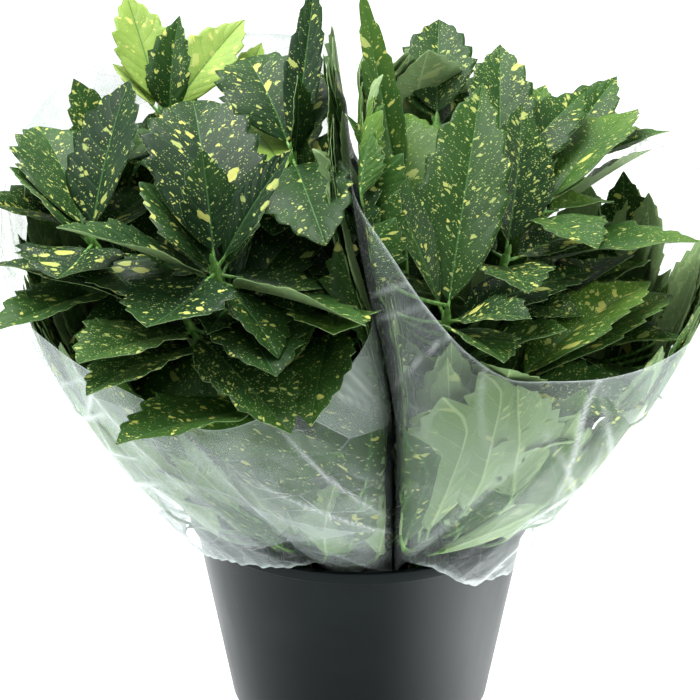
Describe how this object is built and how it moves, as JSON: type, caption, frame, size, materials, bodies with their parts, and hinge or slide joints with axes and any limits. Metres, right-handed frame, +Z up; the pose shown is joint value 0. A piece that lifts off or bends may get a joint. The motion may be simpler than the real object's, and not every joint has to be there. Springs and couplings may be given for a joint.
{
  "type": "potted japanese laurel",
  "caption": "Cut stems of spotted japanese laurel in clear film sleeves, standing in a black tapered flower bucket of water.",
  "frame": {"origin": "centre of the bucket's flat bottom, on the surface that it stands on", "axes": "+Z up; the front, where the sleeves' low hems are, faces -Y; +X to the right seen from the front"},
  "size_m": [0.5615, 0.3959, 0.6695],
  "materials": {
    "bucket_plastic": "satin black",
    "water": "clear",
    "leafy_stem": "waxy green leaves with yellow spots",
    "tie_rubber": "matte",
    "film": "clear creased film"
  },
  "bodies": {
    "root": {"bucket": "bucket_plastic", "water": "water", "tie_band_left": "tie_rubber", "tie_band_right": "tie_rubber", "film_sleeve_left": "film", "film_sleeve_right": "film", "leafy_stem_a": "leafy_stem", "leafy_stem_b": "leafy_stem", "leafy_stem_c": "leafy_stem", "leafy_stem_d": "leafy_stem", "leafy_stem_e": "leafy_stem", "leafy_stem_f": "leafy_stem", "leafy_stem_g": "leafy_stem", "leafy_stem_h": "leafy_stem", "leafy_stem_i": "leafy_stem", "leafy_stem_j": "leafy_stem", "leafy_stem_k": "leafy_stem", "leafy_stem_l": "leafy_stem", "leafy_stem_m": "leafy_stem", "leafy_stem_n": "leafy_stem", "leafy_stem_o": "leafy_stem", "leafy_stem_p": "leafy_stem", "leafy_stem_q": "leafy_stem", "leafy_stem_r": "leafy_stem", "leafy_stem_s": "leafy_stem", "leafy_stem_t": "leafy_stem"}
  },
  "joints": []
}
